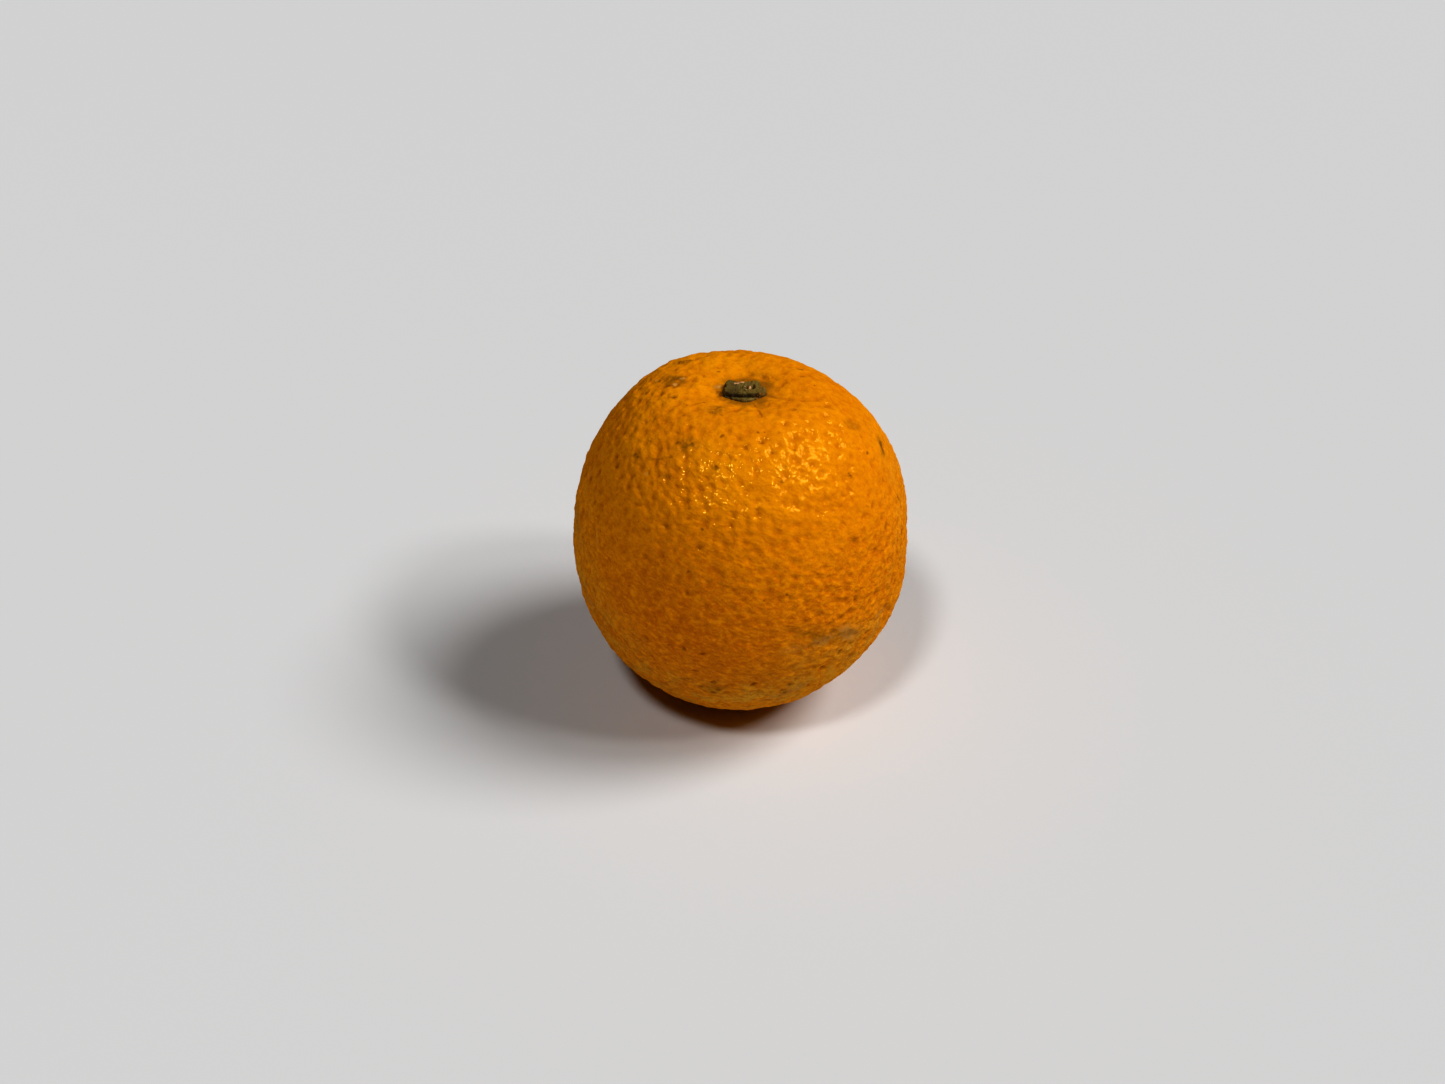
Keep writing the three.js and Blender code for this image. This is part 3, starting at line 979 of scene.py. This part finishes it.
def near_button(net, place):
    """Where the rind is darker round the calyx, from 0 to 1."""
    low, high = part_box(BUTTON_NODE)
    _x, _y, distance = from_axis(net, place, (low + high) / 2)
    blotch = (net.noise(place, 2.6 * MM, detail=3.0, lift=(0, 0.2, 0)) - 0.5) * (6 * MM)
    over_equator = net.step(net.split(place)[2], low.z - 10 * MM, low.z)
    return net.step(distance + blotch, 8 * MM, 4.4 * MM) * over_equator


def rind_bump(net, place):
    """The rind's finest relief, which is too small to be in its mesh."""
    wavy = net.warp(place, 2.5 * MM, 1.5 * MM)
    dimples = net.noise(along_ripples(net, wavy), 1.2 * MM, detail=1.5, lift=(0.2, 0, 0.2))
    grain = net.noise(place, 0.5 * MM, detail=1.0)
    from_middle = net.vector("SUBTRACT", place, equator_middle())
    rippled = net.between(0.95, 0.9, on_shoulder(net, from_middle))
    height = dimples * rippled * (1 - cast_mask(net, from_middle, "smooth")) + grain * 0.12
    return net.field(
        "ShaderNodeBump", {"Strength": 1.0, "Distance": 0.38 * MM, "Height": height})


def dress_rind(net, rind, colors):
    """Fills the rind's material: waxy skin with its pits, stains, scars and scuffs."""
    place = net.field("ShaderNodeTexCoord", output="Object")
    color = rind_color(net, place, colors)
    color = net.mix(color, SPECK_COLOR, specks(net, place) * 0.45)
    # Darker in a ring round the calyx.
    color = net.mix(color, BUTTON_RING_COLOR, near_button(net, place) * 0.85)
    wavy = net.warp(place, 0.8 * MM, 0.5 * MM)
    worn = 0.0
    for kind, paint in PAINTS.items():
        shown = marks_mask(net, wavy, rind, kind) if paint.fine else attribute(net, kind)
        speckle = net.noise(place, paint.grain * MM, detail=3.0, roughness=0.6) - 0.5
        shown = net.clamp(shown * (speckle * (paint.raggedness * 4) + 1)) * paint.share
        color = net.mix(color, paint.color, shown)
        worn = net.math("MAXIMUM", shown, worn)
    roughness = net.noise(place, 1.8 * MM, lift=(0, 0, 0.4)) * 0.14 + 0.02 + worn * 0.35
    inputs = {
        "Base Color": color,
        "Roughness": roughness,
        "Specular IOR Level": 0.0,
        "Normal": rind_bump(net, place),
    }
    finish_material(net, inputs, sheens=((0.02, WAX_COLOR, 0.5), (0.018, GLINT_COLOR, roughness)))


def sizes_from(group):
    """A property group's plain numbers, under the names that its user reads."""
    sizes = {}
    for key in group.__annotations__:
        item = group.bl_rna.properties[key]
        if not item.is_array:
            sizes[item.name] = getattr(group, key)
    return sizes


class ORANGE_OT_rind(bpy.types.Operator):
    """Grow the fruit's rind, with its hollow, pits and marks"""

    bl_idname = "orange.grow_rind"
    bl_label = "Grow Rind"

    def execute(self, context):
        settings = context.scene.orange_rind
        material, net = new_material("Waxy rind")
        values = sizes_from(context.scene.orange_body) | sizes_from(settings)
        values["Material"] = material
        rind = grow(rind_tree(values), "orange_rind", values)
        fit_to_box(rind.data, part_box(FRUIT_NODE))
        lay_out_uv(rind.data)
        context.view_layer.update()
        # Without a seed, noise_vector is shifted by the clock.
        noise.seed_set(settings.seed)
        for kind, paint in PAINTS.items():
            if not paint.fine:
                store_marks(rind, kind)
        dress_rind(net, rind, settings)
        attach(rind, BODY)
        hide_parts(FRUIT_NODE)
        return {"FINISHED"}


# ---- Stem button ---------------------------------------------------------------------------------


def turn_between(start, end):
    """The turn from one bearing to another in degrees, the short way round."""
    return (end - start + 180) % 360 - 180


def mound(distance, reach):
    """1 at no distance and falling away smoothly, with reach as its half width."""
    return math.exp(-((distance / reach) ** 2))


def calyx_reach(bearing):
    """The calyx's outline in millimetres, along its sepals and between them."""
    reach = SEPAL_VALLEY
    for sepal, length in SEPALS:
        turn = turn_between(sepal, bearing)
        reach += (length - SEPAL_VALLEY) * mound(turn, SEPAL_HALF_WIDTH)
    around = Vector((math.cos(math.radians(bearing)), math.sin(math.radians(bearing)), 0))
    return reach + 0.22 * noise.fractal(around * 6, 1.0, 2.0, 3)


def oval(x, y, middle_x, middle_y, half_x, half_y):
    """1 in the middle of an oval place on the disc and falling away outside it."""
    return math.exp(-((x - middle_x) / half_x) ** 2 - ((y - middle_y) / half_y) ** 2)


def torn_fibres(x, y):
    """Where pale torn fibres show on the disc. Millimetres from the button's middle."""
    stub = oval(x, y, *SCAR, 0.36, 0.75)
    ridge = oval(x, y, -1.7, 2.3, 0.75, 0.35) + oval(x, y, -0.4, 2.75, 0.8, 0.25)
    crumb = oval(x, y, 0.1, 1.2, 0.25, 0.35) + oval(x, y, 0.3, -0.3, 0.2, 0.22)
    return stub + ridge * 0.9 + crumb * 0.8


def calyx_height(x, y, share, sizes):
    """Height over the rind in millimetres, the share of pale fibres, and the share of painted shade
    in the groove below the disc and the holes, darker too in the dip.

    The sepals lie in front of the disc, and share is 1 at their rim.
    """
    disc = sizes.disc_height / MM
    edge = sizes.edge_height / MM
    wander = 0.2 * noise.noise(Vector((x * 0.9, 3.0, 0.0)))
    step = DISC_FRONT + DISC_SLANT * x + wander
    front = 1 / (1 + math.exp((y - step) / 0.09))
    lobe = edge + 0.25 * oval(x, y, 0.4, step - 1.3, 2.6, 0.8)
    height = disc + (lobe - disc) * front
    height -= 0.45 * mound(y - step + 0.25, 0.2)
    rounded = max(0.0, (share - 0.86) / 0.14)
    height += (edge * 0.6 - height) * rounded ** 2
    height -= 0.4 * oval(x, y, *DIP, 1.3, 0.9)
    ring = math.hypot(x - SCAR[0], y - SCAR[1])
    height += 0.16 * mound(ring - 1.4, 0.25) - 0.2 * mound(ring, 1.1)
    pits = 0.8 * oval(x, y, 1.85, 1.2, 0.24, 0.55) + 0.5 * oval(x, y, 0.55, 1.15, 0.2, 0.4)
    height -= pits
    # Painted shade where the groove runs below the disc and in the holes, and darker in the dip.
    crease_shade = mound(y - step + 0.12, 0.33) + pits + 0.5 * oval(x, y, *DIP, 1.0, 0.7)
    fibres = torn_fibres(x, y)
    height += 0.3 * fibres
    grain = Vector((x, y, 0.0))
    height += 0.12 * noise.fractal(grain * 1.3, 1.0, 2.0, 3) + 0.08 * noise.noise(grain * 5)
    return height, fibres, crease_shade


def calyx_middle():
    """The middle of the calyx as it lies."""
    return sum(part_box(BUTTON_NODE), Vector()) / 2 + CALYX_SHIFT


def calyx_points(rind, sizes):
    """The points of a dome whose rim is sunk in the rind, and each one's fibres and painted shade.
    """
    middle = calyx_middle()
    points = []
    fibres = []
    crease_shades = []
    for ring in range(sizes.rings + 1):
        share = ring / sizes.rings
        for spoke in range(sizes.spokes):
            bearing = 360 * spoke / sizes.spokes
            reach = share * calyx_reach(bearing)
            x = reach * math.cos(math.radians(bearing))
            y = reach * math.sin(math.radians(bearing))
            height, fibre, crease_shade = calyx_height(x, y, share, sizes)
            floor = seat_height(rind, middle.x + x * MM, middle.y + y * MM)
            points.append((middle.x + x * MM, middle.y + y * MM, floor + height * MM))
            fibres.append(fibre)
            crease_shades.append(crease_shade)
    rim = points[-sizes.spokes:]
    points.extend((x, y, z - sizes.edge_height - 0.5 * MM) for x, y, z in rim)
    fibres.extend([0.0] * sizes.spokes)
    # The underside under the rim is dark, as painted shade.
    crease_shades.extend([1.0] * sizes.spokes)
    return points, fibres, crease_shades


def seat_height(rind, x, y):
    """The rind's height under a place on the button."""
    hit, seat, _normal, _face = rind.ray_cast(Vector((x, y, 0.1)), Vector((0, 0, -1)))
    if not hit:
        raise RuntimeError("the stem button stands outside the rind")
    return seat.z


def polar_faces(rows, spokes):
    """Quads between rows of points, and one face over the last row to close the underside."""
    faces = []
    for row in range(rows - 1):
        for spoke in range(spokes):
            right = (spoke + 1) % spokes
            inner = row * spokes
            outer = inner + spokes
            faces.append((inner + spoke, outer + spoke, outer + right, inner + right))
    last = (rows - 1) * spokes
    faces.append(tuple(reversed(range(last, last + spokes))))
    return faces


def calyx_material(colors):
    """Dry olive-brown calyx with painted shade in its groove and holes, pale grain partly painted
    as highlight, pale torn fibres and rusty specks.
    """
    material, net = new_material("Dried calyx")
    place = net.field("ShaderNodeTexCoord", output="Object")
    grain = net.noise(place, 0.5 * MM, detail=4.0, roughness=0.65)
    blotch = net.noise(place, 1.3 * MM, detail=3.0, lift=(0.02, 0, 0))
    middle = calyx_middle().x
    left = net.step(net.split(place)[0], middle + 0.5 * MM, middle - 2 * MM)
    shade = net.step(blotch, 0.45, 0.65) * 0.4 + left * 0.45
    color = net.mix(colors.husk, colors.shade, shade)
    # Painted shade in the groove, the holes and under the rim, and darker in the dip.
    color = net.mix(color, CREASE_SHADE_COLOR, attribute(net, "crease_shade") * 0.85)
    # Paler where the grain stands highest, partly a painted highlight.
    color = net.mix(color, GRAIN_HIGHLIGHT_COLOR, net.step(grain, 0.5, 0.75) * 0.5)
    rust = net.step(net.noise(place, 0.33 * MM, detail=1.0, lift=(0, 0.05, 0)), 0.58, 0.68)
    color = net.mix(color, colors.rust, rust * attribute(net, "rust"))
    fibre = net.step(attribute(net, "fibre") + (grain - 0.5) * 0.9, 0.42, 0.75)
    color = net.mix(color, colors.fibre, fibre)
    bump = net.field(
        "ShaderNodeBump", {"Strength": 0.7, "Distance": 0.12 * MM, "Height": grain})
    finish_material(net, {
        "Base Color": color,
        "Roughness": grain * 0.2 + 0.7,
        "IOR": 1.4,
        "Specular IOR Level": 0.3,
        "Normal": bump,
    })
    return material


class ORANGE_OT_stem_button(bpy.types.Operator):
    """Make the dried calyx that sits in the hollow"""

    bl_idname = "orange.make_stem_button"
    bl_label = "Make Stem Button"

    def execute(self, context):
        sizes = context.scene.orange_button
        rind = bpy.data.objects["orange_rind"]
        points, fibres, crease_shades = calyx_points(rind, sizes)
        mesh = bpy.data.meshes.new("dried_calyx")
        mesh.from_pydata(points, [], polar_faces(sizes.rings + 2, sizes.spokes))
        middle = calyx_middle()
        rust = [max(0.0, min(1.0, (x - middle.x) / (3 * MM) - 0.3)) for x, _y, _z in points]
        set_attribute(mesh, "fibre", fibres)
        set_attribute(mesh, "crease_shade", crease_shades)
        set_attribute(mesh, "rust", rust)
        mesh.shade_smooth()
        weld(mesh)
        calyx = bpy.data.objects.new("dried_calyx", mesh)
        context.scene.collection.objects.link(calyx)
        mesh.materials.append(calyx_material(sizes))
        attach(calyx, BODY)
        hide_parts(BUTTON_NODE)
        return {"FINISHED"}


def weld(mesh):
    """Merges the points that fall together in the middle."""
    shape = bmesh.new()
    shape.from_mesh(mesh)
    bmesh.ops.remove_doubles(shape, verts=shape.verts, dist=1e-6)
    shape.to_mesh(mesh)
    shape.free()


# ---- Stage ---------------------------------------------------------------------------------------


def view_axes(elevation):
    """Right, up and back, from the camera's side, as it looks along +Y and down."""
    right = Vector((1, 0, 0))
    up = Vector((0, math.sin(elevation), math.cos(elevation)))
    back = Vector((0, -math.cos(elevation), math.sin(elevation)))
    return right, up, back


def make_floor(size):
    """The pale floor, square and very faintly clouded."""
    half = size / 2
    mesh = bpy.data.meshes.new("floor")
    corners = [(-half, -half, 0), (half, -half, 0), (half, half, 0), (-half, half, 0)]
    mesh.from_pydata(corners, [], [(0, 1, 2, 3)])
    material, net = new_material("Pale floor")
    place = net.field("ShaderNodeTexCoord", output="Object")
    tone = net.noise(place, 0.5, detail=1.0)
    color = net.mix((0.69, 0.69, 0.69), (0.7, 0.7, 0.7), tone)
    finish_material(net, {"Base Color": color, "Roughness": 0.9, "Specular IOR Level": 0.1})
    mesh.materials.append(material)
    floor = bpy.data.objects.new("floor", mesh)
    bpy.context.scene.collection.objects.link(floor)


def make_light(name, strength, width):
    """A distant light, as strong and as wide as this, that shines from its own place."""
    light = bpy.data.lights.new(name, "SUN")
    light.energy = strength
    light.angle = width
    lamp = bpy.data.objects.new(name, light)
    toward = direction_at(*LIGHT_PLACES[name])
    lamp.matrix_world = toward.to_track_quat("Z", "Y").to_matrix().to_4x4()
    bpy.context.scene.collection.objects.link(lamp)


def make_camera(settings):
    """The camera, looking down at the fruit from the front."""
    right, up, back = view_axes(settings.camera_elevation)
    camera = bpy.data.cameras.new("camera")
    camera.angle = settings.view_width
    holder = bpy.data.objects.new("camera", camera)
    offset = right * CAMERA_SHIFT[0] + up * CAMERA_SHIFT[1]
    place = CAMERA_TARGET + back * settings.camera_distance + offset
    turned = Matrix((right, up, back)).transposed()
    holder.matrix_world = Matrix.Translation(place) @ turned.to_4x4()
    bpy.context.scene.collection.objects.link(holder)
    bpy.context.scene.camera = holder


def make_sky(scene, strength):
    """Faint white light from all round."""
    world = bpy.data.worlds.new("sky")
    world.use_nodes = True
    background = world.node_tree.nodes["Background"]
    background.inputs["Color"].default_value = (1.0, 1.0, 1.0, 1.0)
    background.inputs["Strength"].default_value = strength
    scene.world = world


class ORANGE_OT_stage(bpy.types.Operator):
    """Set the floor, the light and the camera"""

    bl_idname = "orange.set_stage"
    bl_label = "Set Stage"

    def execute(self, context):
        settings = context.scene.orange_stage
        make_floor(settings.floor_size)
        make_light("key light", settings.key_strength, settings.softness)
        make_light("right lamp", settings.right_strength, settings.lamp_width)
        make_light("left lamp", settings.left_strength, settings.lamp_width)
        make_camera(settings)
        make_sky(context.scene, settings.sky)
        context.scene.view_settings.view_transform = "Standard"
        context.scene.view_settings.look = "High Contrast"
        return {"FINISHED"}


class ORANGE_PT_panel(bpy.types.Panel):
    """The orange's pieces, in the order that they are made"""

    bl_idname = "ORANGE_PT_panel"
    bl_label = "Orange"
    bl_space_type = "VIEW_3D"
    bl_region_type = "UI"
    bl_category = "Orange"

    def draw(self, context):
        for operator in (ORANGE_OT_rind, ORANGE_OT_stem_button, ORANGE_OT_stage):
            self.layout.operator(operator.bl_idname)


SETTINGS = {
    "orange_body": OrangeBody,
    "orange_rind": OrangeRind,
    "orange_button": OrangeButton,
    "orange_stage": OrangeStage,
}
CLASSES = (
    *SETTINGS.values(), ORANGE_OT_rind, ORANGE_OT_stem_button, ORANGE_OT_stage, ORANGE_PT_panel)


def register():
    for each in CLASSES:
        bpy.utils.register_class(each)
    for name, group in SETTINGS.items():
        setattr(bpy.types.Scene, name, bpy.props.PointerProperty(type=group))


def unregister():
    for name in SETTINGS:
        delattr(bpy.types.Scene, name)
    for each in reversed(CLASSES):
        bpy.utils.unregister_class(each)


def main():
    register()
    bpy.ops.orange.grow_rind()
    bpy.ops.orange.make_stem_button()
    bpy.ops.orange.set_stage()


if __name__ == "__main__":
    main()
